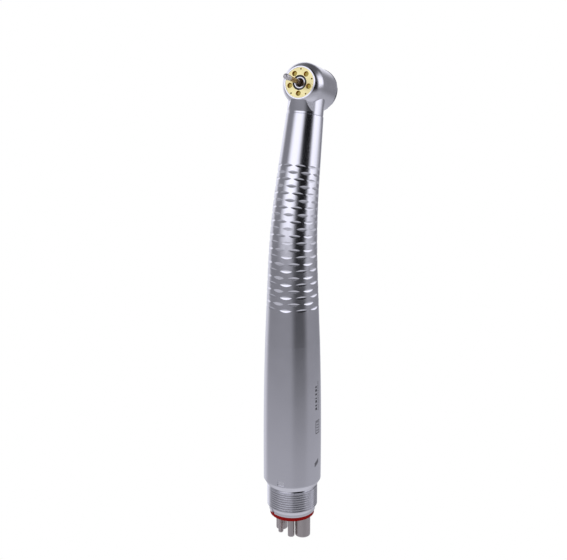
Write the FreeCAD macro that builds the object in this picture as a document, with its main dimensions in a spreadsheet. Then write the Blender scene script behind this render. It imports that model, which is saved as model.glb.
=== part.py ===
import FreeCAD, Part
import math
import os
import Sketcher

# High speed dental handpiece, millimetres.
# +Z runs up the straight rear of the handle, from the hose end towards the head.
# The origin is the centre of the hose gasket's outer face.
# The handle bends towards +Y, the head's face and its bur point to -Y, and X = 0 is the mirror plane.

Vector = FreeCAD.Vector

# Driving dimensions: (alias, value, what it is).
DIMENSIONS = [
    ("bend_start", 69.73, "height where the handle's straight rear ends"),
    ("bend_radius", 99.42, "radius of the handle's centre line in the bend"),
    ("bend_angle", 14.34, "turn of the bend, degrees"),
    ("head_run", 24.57, "straight run from the bend to the head's axis"),
    ("neck_run", 16.84, "straight run from the bend to the head's seam"),
    ("spigot_length", 6.95, "length of the neck's spigot inside the front sleeve"),
    ("seam_height", 51.0, "height of the seam between the two sleeves"),
    ("seam_radius", 7.45, "outer radius of the handle at that seam"),
    ("handle_radius", 8.0, "outer radius of the rear sleeve"),
    ("sleeve_foot", 9.3, "height of the rear sleeve's lower end"),
    ("sleeve_foot_radius", 7.2, "radius of the rear sleeve's lower lip"),
    ("foot_cone", 1.5, "height of the cone above that lip"),
    ("recess_height", 11.95, "height of the index recess's centre"),
    ("recess_side", 0.17, "index recess from the mirror plane"),
    ("recess_width", 1.88, "width of the index recess"),
    ("recess_length", 1.4, "length of the index recess along the handle"),
    ("recess_depth", 0.16, "depth of the index recess"),
    ("swell_start", 18.0, "height where the rear sleeve starts to narrow"),
    ("swell_radius", 990.0, "radius of the rear sleeve's long side curve"),
    ("sleeve_bore", 6.97, "inner radius of the rear sleeve"),
    ("foot_bore", 6.6, "inner radius at the rear sleeve's lower end"),
    ("bend_start_radius", 6.675, "handle radius where the bend starts"),
    ("bend_end_radius", 5.645, "handle radius where the bend ends"),
    ("neck_seam_radius", 4.93, "front sleeve radius at the head's seam"),
    ("sleeve_wall", 1.2, "wall of the front sleeve"),
    ("joint_spigot", 7.5, "length of the front sleeve's spigot in the rear sleeve"),
    ("dimple_start", 61.3, "run along the centre line to the lowest row of dimples"),
    ("dimple_step", 1.745, "spacing of the rows"),
    ("dimple_depth", 0.2, "depth of a dimple"),
    ("dimple_half_height", 0.425, "half a dimple's height along the handle"),
    ("dimple_stagger", 9.0, "turn of each row either way from the front, degrees"),
    ("register_bore", 4.02, "bore that takes the neck's spigot"),
    ("spigot_radius", 4.0, "neck spigot radius"),
    ("neck_radius", 4.8, "neck outer radius"),
    ("neck_chamfer", 0.15, "chamfer of the neck's lower edge"),
    ("chin_foot", 1.295, "seam to where the chin's axis crosses the neck's"),
    ("chin_height", 3.62, "length of the chin along its own axis"),
    ("chin_lean", 16.5, "lean of the chin towards the face, degrees"),
    ("chin_angle", 52.0, "half the turn that the chin covers, degrees"),
    ("neck_bore", 3.2, "bore of the neck, which the lines run through"),
    ("neck_bore_end", 6.15, "distance from the head's axis to the end of that bore"),
    ("head_radius", 5.72, "head outer radius"),
    ("head_back", 5.95, "head axis origin to the housing's rear face"),
    ("dome_start", 2.75, "height on the head's axis where the dome starts"),
    ("dome_radius", 3.445, "radius of the dome's side"),
    ("dome_end", 5.5, "height where the dome ends"),
    ("dome_end_radius", 4.35, "radius where the dome ends"),
    ("face_height", 5.63, "height of the face's rim"),
    ("rim_radius", 4.26, "outer radius of the face's rim"),
    ("recess_radius", 3.96, "radius of the recess for lights and cover plate"),
    ("recess_floor", 4.4, "height of that recess's floor"),
    ("wall_bore", 2.05, "hole in the wall in front of the front bearing"),
    ("seat_top", 4.05, "height of the front bearing seat's end"),
    ("seat_radius", 3.5, "radius of the bearing seats"),
    ("chamber_top", 1.35, "height of the turbine chamber's front"),
    ("chamber_back", 2.05, "depth of the turbine chamber behind the axis"),
    ("chamber_radius", 4.55, "turbine chamber radius"),
    ("cap_bore", 4.97, "bore that takes the rear cap"),
    ("cap_radius", 5.8, "rear cap flange radius"),
    ("cap_back", 6.6, "head axis to the rear cap's outer face"),
    ("web_front", 4.8, "head axis to the front of the cap's web"),
    ("web_back", 5.15, "head axis to the back of the cap's web"),
    ("notch_width", 1.4, "width of a spanner notch in the rear cap"),
    ("notch_depth", 0.45, "depth of a spanner notch"),
    ("notch_reach", 0.6, "how far a spanner notch cuts in from the cap's rim"),
    ("button_well", 3.95, "radius of the well for the button"),
    ("button_radius", 3.85, "push button radius"),
    ("button_back", 7.25, "head axis to the top of the button's dome"),
    ("button_wall", 0.5, "wall of the push button's skirt"),
    ("button_skirt_end", 5.95, "head axis to the end of the button's skirt"),
    ("button_ceiling", 6.5, "head axis to the button's inner face"),
    ("plunger_radius", 0.5, "radius of the button's plunger"),
    ("plunger_end", 5.45, "head axis to the plunger's end"),
    ("spring_outer", 3.4, "outer radius of the button spring"),
    ("spring_inner", 1.25, "inner radius of the button spring"),
    ("spring_thickness", 0.15, "thickness of the button spring"),
    ("spring_rise", 1.34, "height of the conical button spring at rest"),
    ("plate_radius", 3.93, "cover plate radius"),
    ("plate_bottom", 5.05, "height of the cover plate's inner face"),
    ("plate_top", 5.58, "height of the cover plate's outer face"),
    ("plate_bore", 1.96, "centre hole of the cover plate"),
    ("light_pitch", 2.77, "pitch radius of the light holes"),
    ("light_radius", 0.7, "radius of a light hole"),
    ("spray_pitch", 3.5, "pitch radius of the spray holes"),
    ("spray_radius", 0.215, "radius of a spray hole"),
    ("board_thickness", 0.35, "thickness of the light board"),
    ("spindle_radius", 1.5875, "turbine spindle radius, 3.175 mm across"),
    ("spindle_back", 4.95, "head axis to the spindle's rear end"),
    ("spindle_front", 5.5, "height of the spindle's nose"),
    ("collet_radius", 1.22, "outer radius of the chuck collet"),
    ("collet_back", 2.3, "head axis to the collet's rear end"),
    ("collet_recess", 0.25, "collet's mouth behind the spindle's nose"),
    ("slit_width", 0.14, "width of a collet slit"),
    ("slit_length", 4.0, "length of a collet slit"),
    ("shank_radius", 0.795, "bur shank radius, 1.59 mm across"),
    ("bur_back", 2.25, "head axis to the bur's rear end"),
    ("bur_front", 14.6, "height of the bur's tip"),
    ("bur_neck_radius", 0.64, "radius of the bur's slim neck"),
    ("bur_tip_radius", 0.73, "radius of the bur's working tip"),
    ("bur_tip_length", 2.4, "length of the bur's working tip"),
    ("bur_flare", 0.4, "length of the cone behind the tip"),
    ("nose_chamfer", 0.12, "chamfer of the spindle's nose"),
    ("bearing_outer", 3.175, "bearing outer radius"),
    ("bearing_width", 2.38, "bearing width"),
    ("ball_radius", 0.5, "bearing ball radius"),
    ("ball_pitch", 2.38, "pitch radius of the balls"),
    ("groove_radius", 0.53, "race groove radius"),
    ("outer_lip", 2.72, "inner radius of a bearing's outer race"),
    ("inner_lip", 2.04, "outer radius of a bearing's inner race"),
    ("cage_inner", 2.2, "inner radius of a bearing's cage"),
    ("cage_outer", 2.56, "outer radius of a bearing's cage"),
    ("cage_width", 1.4, "width of a bearing's cage"),
    ("seat_ring", 0.155, "section radius of the o-ring round a bearing"),
    ("front_bearing_height", 1.6, "height of the front bearing's rear face"),
    ("rear_bearing_back", 4.6, "head axis to the rear bearing's rear face"),
    ("impeller_radius", 4.2, "turbine impeller radius"),
    ("impeller_back", 1.9, "head axis to the impeller's rear face"),
    ("impeller_height", 3.2, "impeller height"),
    ("bucket_radius", 1.0, "radius of the impeller's buckets"),
    ("bucket_offset", 0.15, "bucket centres outside the impeller's rim"),
    ("pin_radius", 0.5, "chuck release pin radius"),
    ("pin_back", 5.1, "head axis to the release pin's rear end"),
    ("pin_front", 2.75, "head axis to the release pin's front end"),
    ("gasket_radius", 6.2, "hose gasket radius"),
    ("gasket_thickness", 1.1, "hose gasket thickness"),
    ("collar_radius", 6.45, "connector collar radius"),
    ("collar_top", 1.87, "height where the collar's cone starts"),
    ("slot_angle", 30.0, "turn of the spanner slot from the front, degrees"),
    ("slot_width", 0.9, "width of the spanner slot"),
    ("slot_depth", 0.5, "depth of the spanner slot"),
    ("thread_start", 2.93, "height of the hose thread's first crest"),
    ("thread_radius", 7.05, "hose thread crest radius"),
    ("thread_root", 6.68, "hose thread root radius"),
    ("thread_pitch", 0.68, "hose thread pitch"),
    ("thread_crest", 0.2, "width of a thread crest"),
    ("connector_spigot", 6.58, "connector radius inside the rear sleeve"),
    ("connector_top", 14.5, "height of the connector's top"),
    ("seal_groove", 12.0, "height of the connector's seal groove"),
    ("seal_groove_half", 0.4, "half the width of that groove"),
    ("seal_groove_depth", 0.68, "depth of that groove"),
    ("tube_reach", 6.4, "how far the tubes stand out of the gasket"),
    ("tube_top", 16.5, "height of the tubes' upper ends"),
    ("exhaust_radius", 2.17, "exhaust tube outer radius"),
    ("exhaust_bore", 1.75, "exhaust tube bore radius"),
    ("drive_radius", 1.62, "drive air tube outer radius"),
    ("drive_bore", 1.15, "drive air tube bore radius"),
    ("water_radius", 0.95, "water tube outer radius"),
    ("water_bore", 0.55, "water tube bore radius"),
    ("chip_radius", 0.72, "chip air tube outer radius"),
    ("chip_bore", 0.4, "chip air tube bore radius"),
    ("manifold_radius", 6.9, "manifold radius"),
    ("manifold_top", 18.5, "height of the manifold's top"),
    ("screw_place", 4.9, "manifold screws from the handle's axis"),
    ("screw_radius", 0.8, "manifold screw radius"),
    ("screw_length", 6.5, "manifold screw length under its head"),
    ("screw_head_radius", 1.2, "manifold screw head radius"),
    ("screw_head_height", 1.0, "manifold screw head height"),
    ("generator_offset", 2.55, "generator axis from the handle's axis, towards +Y"),
    ("generator_radius", 4.05, "generator housing radius"),
    ("generator_wall", 0.3, "generator housing wall"),
    ("generator_floor", 1.2, "generator housing floor thickness"),
    ("generator_top", 40.0, "height of the generator housing's rim"),
    ("bush_radius", 1.3, "generator bush radius"),
    ("shaft_radius", 0.6, "generator shaft radius"),
    ("stator_foot", 26.0, "height of the generator coil's lower end"),
    ("stator_length", 11.0, "length of the coil"),
    ("stator_bore", 2.55, "bore of the coil"),
    ("stator_end_radius", 3.1, "radius of the coil's slimmer ends"),
    ("stator_end", 1.2, "length of each slimmer end"),
    ("magnet_foot", 26.5, "height of the magnet's lower end"),
    ("magnet_length", 10.0, "length of the magnet"),
    ("magnet_radius", 2.35, "radius of the magnet"),
    ("wheel_foot", 21.0, "height of the generator wheel's lower face"),
    ("wheel_width", 2.6, "width of the generator wheel"),
    ("wheel_radius", 3.4, "radius of the generator wheel"),
    ("wheel_pitch", 3.6, "pitch radius of the generator wheel's buckets"),
    ("wheel_bucket", 0.95, "radius of those buckets"),
    ("running_gap", 0.05, "radial gap of a running fit"),
    ("seating_gap", 0.02, "radial gap of a tube in its hole"),
    ("drive_line_radius", 1.3, "drive air line outer radius"),
    ("drive_line_offset", 1.2, "drive air line from the centre line"),
    ("small_line_radius", 0.45, "water and chip air line outer radius"),
    ("small_line_offset", 2.3, "water and chip air lines in front of the centre line"),
    ("small_line_side", 1.2, "water and chip air lines from the mirror plane"),
    ("board_height", 44.5, "height of the rectifier board"),
    ("rectifier_radius", 6.2, "rectifier board radius"),
    ("rectifier_thickness", 0.8, "thickness of the rectifier board"),
    ("wire_radius", 0.22, "lamp wire radius"),
]


class Size:
    """A length or an angle that knows its value and the sheet formula that drives it."""

    def __init__(self, value, formula):
        self.value = value
        self.formula = formula

    def __add__(self, other):
        return combined(self, "+", other)

    def __radd__(self, other):
        return combined(other, "+", self)

    def __sub__(self, other):
        return combined(self, "-", other)

    def __rsub__(self, other):
        return combined(other, "-", self)

    def __mul__(self, other):
        return combined(self, "*", other)

    def __rmul__(self, other):
        return combined(other, "*", self)

    def __neg__(self):
        return combined(0, "-", self)


def as_size(number):
    """Numbers written in this file are sizes without a cell of their own."""
    if isinstance(number, Size):
        return number
    return Size(float(number), f"{float(number):.6f}")


def combined(left, sign, right):
    left = as_size(left)
    right = as_size(right)
    values = {
        "+": left.value + right.value,
        "-": left.value - right.value,
        "*": left.value * right.value,
    }
    return Size(values[sign], f"({left.formula} {sign} {right.formula})")


def cosine(angle):
    return Size(math.cos(math.radians(angle.value)), f"cos({angle.formula})")


def sine(angle):
    return Size(math.sin(math.radians(angle.value)), f"sin({angle.formula})")


def half_chord(radius, offset):
    """Half the chord of a circle at a distance from its centre."""
    value = math.sqrt(radius.value ** 2 - offset.value ** 2)
    return Size(value, f"sqrt({radius.formula} ^ 2 - {offset.formula} ^ 2)")


class Dimensions:
    """The sheet's cells, each as a Size under its alias."""

    def __init__(self, sheet, rows):
        for row, (alias, value, meaning) in enumerate(rows, start=1):
            sheet.set(f"A{row}", meaning)
            sheet.set(f"B{row}", str(value))
            sheet.setAlias(f"B{row}", alias)
            setattr(self, alias, Size(value, f"{sheet.Name}.{alias}"))


doc = FreeCAD.newDocument("high_speed_handpiece")
sizes = doc.addObject("Spreadsheet::Sheet", "Sizes")
dim = Dimensions(sizes, DIMENSIONS)
doc.recompute()

nodes = []


# ---------------------------------------------------------------- building blocks

def bind(item, prop, size):
    item.setExpression(prop, as_size(size).formula)


def shift(item, x=0.0, y=0.0, z=0.0):
    for axis, size in (("x", x), ("y", y), ("z", z)):
        bind(item, f"Placement.Base.{axis}", size)
    return item


def tilt(item, angle):
    """Turns an item about the X axis."""
    angle = as_size(angle)
    item.Placement.Rotation = FreeCAD.Rotation(Vector(1, 0, 0), angle.value)
    bind(item, "Placement.Rotation.Angle", angle)
    return item


def turn(item, angle):
    """Turns an item about the Z axis."""
    angle = as_size(angle)
    item.Placement.Rotation = FreeCAD.Rotation(Vector(0, 0, 1), angle.value)
    bind(item, "Placement.Rotation.Angle", angle)
    return item


def cylinder(name, radius, height, x=0.0, y=0.0, z=0.0):
    item = doc.addObject("Part::Cylinder", name)
    bind(item, "Radius", radius)
    bind(item, "Height", height)
    return shift(item, x, y, z)


def box(name, length, width, height, x=0.0, y=0.0, z=0.0):
    """A box whose lower face is centred on (x, y, z)."""
    item = doc.addObject("Part::Box", name)
    bind(item, "Length", length)
    bind(item, "Width", width)
    bind(item, "Height", height)
    return shift(item, x - as_size(length) * 0.5, y - as_size(width) * 0.5, z)


def torus(name, major, minor):
    item = doc.addObject("Part::Torus", name)
    bind(item, "Radius1", major)
    bind(item, "Radius2", minor)
    return item


def drill(name, start, end, radius):
    """A round hole's tool between two points."""
    along = end - start
    item = doc.addObject("Part::Cylinder", name)
    bind(item, "Radius", radius)
    item.Height = along.Length
    item.Placement = FreeCAD.Placement(start, FreeCAD.Rotation(Vector(0, 0, 1), along))
    return item


def group(name, items):
    item = doc.addObject("Part::Compound", name)
    item.Links = items
    return item


def fused(name, items):
    item = doc.addObject("Part::MultiFuse", name)
    item.Shapes = items
    return item


def common(name, items):
    item = doc.addObject("Part::MultiCommon", name)
    item.Shapes = items
    return item


def cut(name, base, tool):
    item = doc.addObject("Part::Cut", name)
    item.Base = base
    item.Tool = tool
    return item


def round_pattern(name, count, pitch, start, make):
    """Copies of what make(name) builds, equally spaced on a circle about the Z axis."""
    items = []
    for index in range(count):
        angle = math.radians(start + index * 360.0 / count)
        item = make(f"{name}_{index + 1}")
        bind(item, "Placement.Base.x", pitch * round(math.cos(angle), 6))
        bind(item, "Placement.Base.y", pitch * round(math.sin(angle), 6))
        items.append(item)
    return group(name, items)


def fix_point(geometry, end, across, up):
    """Constraints that hold one end of a sketch edge at (across, up), with their formulas."""
    rules = []
    for kind, axis, size in (("DistanceX", -2, across), ("DistanceY", -1, up)):
        size = as_size(size)
        if abs(size.value) < 1e-9:
            rules.append((Sketcher.Constraint("PointOnObject", geometry, end, axis), None))
        elif size.value > 0:
            rules.append((Sketcher.Constraint(kind, -1, 1, geometry, end, size.value), size))
        else:
            rules.append((Sketcher.Constraint(kind, geometry, end, -1, 1, -size.value), -size))
    return rules


def add_rules(sketch, rules):
    indices = sketch.addConstraint([rule for rule, size in rules])
    for index, (rule, size) in zip(indices, rules):
        if size is not None:
            sketch.setExpression(f"Constraints[{index}]", size.formula)


def arc_between(start, end, radius):
    """An arc edge and whether it runs from start to end (True) or from end to start."""
    middle = (start + end) * 0.5
    chord = end - start
    rise = math.sqrt(max(radius ** 2 - (chord.Length * 0.5) ** 2, 0.0))
    left = Vector(-chord.y, chord.x, 0).normalize()
    forward = radius > 0
    centre = middle + left * (rise if forward else -rise)
    first, last = (start, end) if forward else (end, start)
    low = math.atan2(first.y - centre.y, first.x - centre.x)
    high = math.atan2(last.y - centre.y, last.x - centre.x)
    if high < low:
        high += 2 * math.pi
    circle = Part.Circle(centre, Vector(0, 0, 1), abs(radius))
    return Part.ArcOfCircle(circle, low, high), forward


def draw_path(sketch, corners, closed):
    """Draws an outline of (across, up) corners.

    A corner's third value is the radius of the arc that arrives at it: positive where the arc's
    centre lies to the left of the way there, negative where it lies to the right.
    """
    count = len(corners) if closed else len(corners) - 1
    points = [Vector(as_size(c[0]).value, as_size(c[1]).value, 0) for c in corners]
    edges = []
    rules = []
    ends = []
    for index in range(count):
        target = (index + 1) % len(corners)
        if len(corners[target]) == 3:
            radius = as_size(corners[target][2])
            edge, forward = arc_between(points[index], points[target], radius.value)
            size = radius if radius.value > 0 else -radius
            rules.append((Sketcher.Constraint("Radius", index, size.value), size))
        else:
            edge, forward = Part.LineSegment(points[index], points[target]), True
        edges.append(edge)
        ends.append((1, 2) if forward else (2, 1))
    sketch.addGeometry(edges)
    for index in range(count):
        rules += fix_point(index, ends[index][0], *corners[index][:2])
        following = (index + 1) % count
        if closed or following:
            link = Sketcher.Constraint("Coincident", index, ends[index][1], following, ends[following][0])
            rules.append((link, None))
    if not closed:
        rules += fix_point(count - 1, ends[-1][1], *corners[-1][:2])
    add_rules(sketch, rules)


def turned(name, outline):
    """A solid turned about its own Z axis from an outline of (radius, height) corners."""
    body = doc.addObject("PartDesign::Body", name)
    sketch = body.newObject("Sketcher::SketchObject", f"{name}_outline")
    planes = {feature.Role: feature for feature in body.Origin.OriginFeatures}
    sketch.AttachmentSupport = [(planes["XZ_Plane"], "")]
    sketch.MapMode = "FlatFace"
    draw_path(sketch, outline, closed=True)
    revolution = body.newObject("PartDesign::Revolution", f"{name}_turning")
    revolution.Profile = sketch
    revolution.ReferenceAxis = (sketch, ["V_Axis"])
    revolution.Angle = 360
    body.Tip = revolution
    return body


def washer(name, inner, outer, height):
    return turned(name, [(inner, 0), (outer, 0), (outer, height), (inner, height)])


# ---------------------------------------------------------------- places

def head_centre():
    """Where the head's axis crosses the neck's, as (y, z)."""
    y = dim.bend_radius * (1 - cosine(dim.bend_angle)) + dim.head_run * sine(dim.bend_angle)
    z = dim.bend_start + dim.bend_radius * sine(dim.bend_angle) + dim.head_run * cosine(dim.bend_angle)
    return y, z


def on_head(item, height=0.0):
    """Stands an item on the head's axis, its +Z along the bur, at a height from the head's centre."""
    y, z = head_centre()
    height = as_size(height)
    tilt(item, 90 - dim.bend_angle)
    return shift(item, 0, y - height * cosine(dim.bend_angle), z + height * sine(dim.bend_angle))


def on_bend(item, part):
    """Stands an item on the centre line in the bend, at a part of its angle from 0 to 1."""
    angle = dim.bend_angle * part
    tilt(item, -angle)
    return shift(item, 0, dim.bend_radius * (1 - cosine(angle)), dim.bend_start + dim.bend_radius * sine(angle))


def on_neck(item, run):
    """Stands an item on the straight centre line above the bend."""
    run = as_size(run)
    tilt(item, -dim.bend_angle)
    y = dim.bend_radius * (1 - cosine(dim.bend_angle)) + run * sine(dim.bend_angle)
    z = dim.bend_start + dim.bend_radius * sine(dim.bend_angle) + run * cosine(dim.bend_angle)
    return shift(item, 0, y, z)


def keep(item, node):
    """Names an item as one of the handpiece's sub-parts."""
    item.Label = node
    nodes.append(item)
    return item


# ---------------------------------------------------------------- head

def neck_chin(seam):
    """Front of the neck: between two flats it leans forward, to meet the face."""
    chin_round = cylinder("chin_round", dim.neck_radius, dim.chin_height, 0, 0, seam + dim.chin_foot)
    tilt(chin_round, dim.chin_lean)
    slab = 12
    depth = 5
    front_place = dim.neck_radius * cosine(dim.chin_angle) + depth * 0.5
    front = box("chin_front", slab, depth, slab, 0, -front_place, seam)
    cheeks = []
    for side, name in ((-1, "left_cheek"), (1, "right_cheek")):
        flat = box(f"{name}_flat", slab, depth, slab, 0, -(dim.neck_radius + depth * 0.5), seam)
        cheeks.append(turn(group(name, [flat]), dim.chin_angle * side))
    return cut("neck_chin", common("chin_body", [chin_round, front]), group("chin_cheeks", cheeks))


def head_housing():
    """Head and neck in one piece: a domed drum on a slim neck with a spigot for the front sleeve."""
    back = dim.head_back
    drum = turned("head_drum", [
        (0, 0),
        (dim.head_radius - 0.12, 0),
        (dim.head_radius, 0.12),
        (dim.head_radius, back + dim.dome_start),
        (dim.dome_end_radius, back + dim.dome_end, dim.dome_radius),
        (dim.rim_radius, back + dim.face_height),
        (0, back + dim.face_height),
    ])
    shift(drum, 0, 0, -back)
    seam = dim.spigot_length
    centre = dim.head_run - dim.neck_run + dim.spigot_length
    core = turned("neck_core", [
        (0, 0),
        (dim.spigot_radius - 0.3, 0),
        (dim.spigot_radius, 0.3),
        (dim.spigot_radius, 2.6),
        (dim.spigot_radius - 0.5, 2.6),
        (dim.spigot_radius - 0.5, 3.2),
        (dim.spigot_radius, 3.2),
        (dim.spigot_radius, seam),
        (dim.neck_radius - dim.neck_chamfer, seam),
        (dim.neck_radius, seam + dim.neck_chamfer),
        (dim.neck_radius, centre),
        (0, centre),
    ])
    chin = neck_chin(seam)
    for item in (core, chin):
        tilt(item, -90)
        shift(item, 0, -centre, 0)
    cavity = turned("head_cavity", [
        (0, 0),
        (dim.cap_bore, 0),
        (dim.cap_bore, back - dim.chamber_back),
        (dim.chamber_radius, back - dim.chamber_back),
        (dim.chamber_radius, back + dim.chamber_top),
        (dim.seat_radius, back + dim.chamber_top),
        (dim.seat_radius, back + dim.seat_top),
        (dim.wall_bore, back + dim.seat_top),
        (dim.wall_bore, back + dim.recess_floor),
        (dim.recess_radius, back + dim.recess_floor),
        (dim.recess_radius, back + dim.face_height),
        (0, back + dim.face_height),
    ])
    shift(cavity, 0, 0, -back)
    bore = cylinder("neck_passage", dim.neck_bore, centre - dim.neck_bore_end)
    tilt(bore, -90)
    shift(bore, 0, -centre, 0)
    outside = fused("head_outside", [drum, core, chin])
    housing = cut("head_housing", outside, fused("head_inside", [cavity, bore] + head_passages()))
    return keep(on_head(housing), "head_housing")


def head_passages():
    """Drillings from the neck bore: drive air and exhaust to the chamber, spray and wires to the face."""
    start = -(dim.neck_bore_end.value + 0.2)
    chamber = -(dim.chamber_radius.value - 0.4)
    face = Vector(0, -3.6, dim.recess_floor.value + 0.1)
    tools = [drill("drive_air_way", Vector(0, start, -1.2), Vector(0, chamber, -1.2), 0.75)]
    for side in (-1, 1):
        across = Vector(side * 1.9, 0, 0)
        inner, outer = Vector(0, start, 0.2), Vector(0, chamber, 0.2)
        tools.append(drill("exhaust_way", across + inner, across + outer, 0.6))
    for place, radius in ((-1.2, 0.25), (0.0, 0.3), (1.2, 0.25)):
        across = Vector(place, 0, 0)
        tools.append(drill("face_way", across + Vector(0, start, 2.2), across + face, radius))
    return tools


def head_cap():
    """Screwed rear cap: holds the rear bearing and the push button's well."""
    flange = dim.cap_back - dim.head_back
    cap = turned("cap_turned", [
        (dim.button_well, 0),
        (dim.cap_radius - 0.3, 0),
        (dim.cap_radius, 0.3, 0.3),
        (dim.cap_radius, flange - 0.1),
        (dim.cap_radius - 0.1, flange),
        (dim.cap_bore - 0.02, flange),
        (dim.cap_bore - 0.02, dim.cap_back - dim.chamber_back - 0.05),
        (dim.seat_radius, dim.cap_back - dim.chamber_back - 0.05),
        (dim.seat_radius, dim.cap_back - dim.web_front),
        (1.9, dim.cap_back - dim.web_front),
        (1.9, dim.cap_back - dim.web_back),
        (dim.button_well, dim.cap_back - dim.web_back),
    ])
    notches = []
    clear = 0.2
    for index in range(6):
        notch = box("cap_notch", dim.notch_reach + clear, dim.notch_width, dim.notch_depth + clear,
                    dim.cap_radius + (clear - dim.notch_reach) * 0.5, 0, -clear)
        notches.append(turn(group("cap_notch_turned", [notch]), 15 + 60 * index))
    return keep(on_head(cut("head_cap", cap, group("cap_notches", notches)), -dim.cap_back), "head_cap")


def push_button():
    """Domed chuck release button with a centre plunger."""
    reach = dim.button_back
    button = turned("push_button", [
        (0, 0),
        (dim.button_radius - 0.45, 0.45, 13.07),
        (dim.button_radius, 0.9, 0.45),
        (dim.button_radius, reach - dim.button_skirt_end),
        (dim.button_radius - dim.button_wall, reach - dim.button_skirt_end),
        (dim.button_radius - dim.button_wall, reach - dim.button_ceiling),
        (dim.plunger_radius, reach - dim.button_ceiling),
        (dim.plunger_radius, reach - dim.plunger_end),
        (0, reach - dim.plunger_end),
    ])
    return keep(on_head(button, -reach), "push_button")


def button_spring():
    """Conical spring washer between the cap's web and the button."""
    rise = dim.spring_rise
    spring = turned("button_spring", [
        (dim.spring_inner, 0),
        (dim.spring_inner + 0.25, 0),
        (dim.spring_outer, rise - dim.spring_thickness),
        (dim.spring_outer, rise),
        (dim.spring_outer - 0.25, rise),
        (dim.spring_inner, dim.spring_thickness),
    ])
    return keep(on_head(spring, -dim.web_back - rise), "button_spring")


def cover_plate():
    """Face plate with five light holes, and five spray holes between them."""
    height = dim.plate_top - dim.plate_bottom
    plate = washer("plate_blank", dim.plate_bore, dim.plate_radius, height)
    lights = round_pattern("light_holes", 5, dim.light_pitch, -90,
                           lambda name: cylinder(name, dim.light_radius, height + 0.2, 0, 0, -0.1))
    sprays = round_pattern("spray_holes", 5, dim.spray_pitch, 90,
                           lambda name: cylinder(name, dim.spray_radius, height + 0.2, 0, 0, -0.1))
    plate = cut("led_cover_plate", plate, group("plate_holes", [lights, sprays]))
    keep(on_head(plate, dim.plate_bottom), "led_cover_plate")


def face_parts():
    """Light board, its five lights, and the black seal ring round the spindle's nose."""
    cover_plate()
    board = washer("led_board", dim.wall_bore, dim.recess_radius - 0.05, dim.board_thickness)
    keep(on_head(board, dim.recess_floor), "led_board")
    chips = round_pattern("led_chips", 5, dim.light_pitch, -90,
                          lambda name: cylinder(name, dim.light_radius - 0.1, 0.25))
    keep(on_head(chips, dim.recess_floor + dim.board_thickness), "led_chips")
    ring = washer("nose_seal_ring", dim.spindle_radius + 0.11, dim.plate_bore, 0.45)
    keep(on_head(ring, dim.plate_bottom), "nose_seal_ring")


def ball_bearing(prefix, height):
    """A miniature bearing: two races, seven balls and their cage, standing at a height on the head's axis."""
    middle = dim.bearing_width * 0.5
    outer_groove = half_chord(dim.groove_radius, dim.outer_lip - dim.ball_pitch)
    inner_groove = half_chord(dim.groove_radius, dim.ball_pitch - dim.inner_lip)
    outer = turned(f"{prefix}_outer_race", [
        (dim.outer_lip, 0),
        (dim.bearing_outer, 0),
        (dim.bearing_outer, dim.bearing_width),
        (dim.outer_lip, dim.bearing_width),
        (dim.outer_lip, middle + outer_groove),
        (dim.outer_lip, middle - outer_groove, -dim.groove_radius),
    ])
    inner = turned(f"{prefix}_inner_race", [
        (dim.spindle_radius, 0),
        (dim.inner_lip, 0),
        (dim.inner_lip, middle - inner_groove),
        (dim.inner_lip, middle + inner_groove, -dim.groove_radius),
        (dim.inner_lip, dim.bearing_width),
        (dim.spindle_radius, dim.bearing_width),
    ])
    balls = round_pattern(f"{prefix}_balls", 7, dim.ball_pitch, 0, lambda name: sphere(name, dim.ball_radius))
    pockets = []
    for index in range(7):
        angle = math.radians(index * 360.0 / 7)
        outward = Vector(math.cos(angle), math.sin(angle), 0)
        pockets.append(drill(f"{prefix}_pocket", outward * 1.8, outward * 3.0, dim.groove_radius))
    band = washer(f"{prefix}_band", dim.cage_inner, dim.cage_outer, dim.cage_width)
    shift(band, 0, 0, dim.cage_width * -0.5)
    cage = cut(f"{prefix}_cage", band, group(f"{prefix}_pockets", pockets))
    keep(on_head(outer, height), f"{prefix}_outer_race")
    keep(on_head(inner, height), f"{prefix}_inner_race")
    keep(on_head(balls, height + middle), f"{prefix}_balls")
    keep(on_head(cage, height + middle), f"{prefix}_cage")
    ring = torus(f"{prefix}_o_ring", (dim.bearing_outer + dim.seat_radius) * 0.5, dim.seat_ring)
    keep(on_head(ring, height + middle), f"{prefix}_o_ring")


def sphere(name, radius):
    item = doc.addObject("Part::Sphere", name)
    bind(item, "Radius", radius)
    return item


def turbine():
    """Spindle with chuck, and the impeller that the drive air turns."""
    reach = dim.spindle_back + dim.spindle_front
    chuck_floor = dim.spindle_back - dim.collet_back - 0.1
    rear_bore = dim.pin_radius + dim.running_gap
    spindle = turned("turbine_spindle", [
        (rear_bore, 0),
        (dim.spindle_radius, 0),
        (dim.spindle_radius, reach - dim.nose_chamfer),
        (dim.spindle_radius - dim.nose_chamfer, reach),
        (dim.collet_radius, reach),
        (dim.collet_radius, chuck_floor),
        (rear_bore, chuck_floor),
    ])
    keep(on_head(spindle, -dim.spindle_back), "turbine_spindle")
    disc = washer("impeller_disc", dim.spindle_radius, dim.impeller_radius, dim.impeller_height)
    buckets = round_pattern("impeller_buckets", 9, dim.impeller_radius + dim.bucket_offset, 0,
                            lambda name: cylinder(name, dim.bucket_radius, dim.impeller_height + 0.2, 0, 0, -0.1))
    keep(on_head(cut("turbine_impeller", disc, buckets), -dim.impeller_back), "turbine_impeller")


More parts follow.
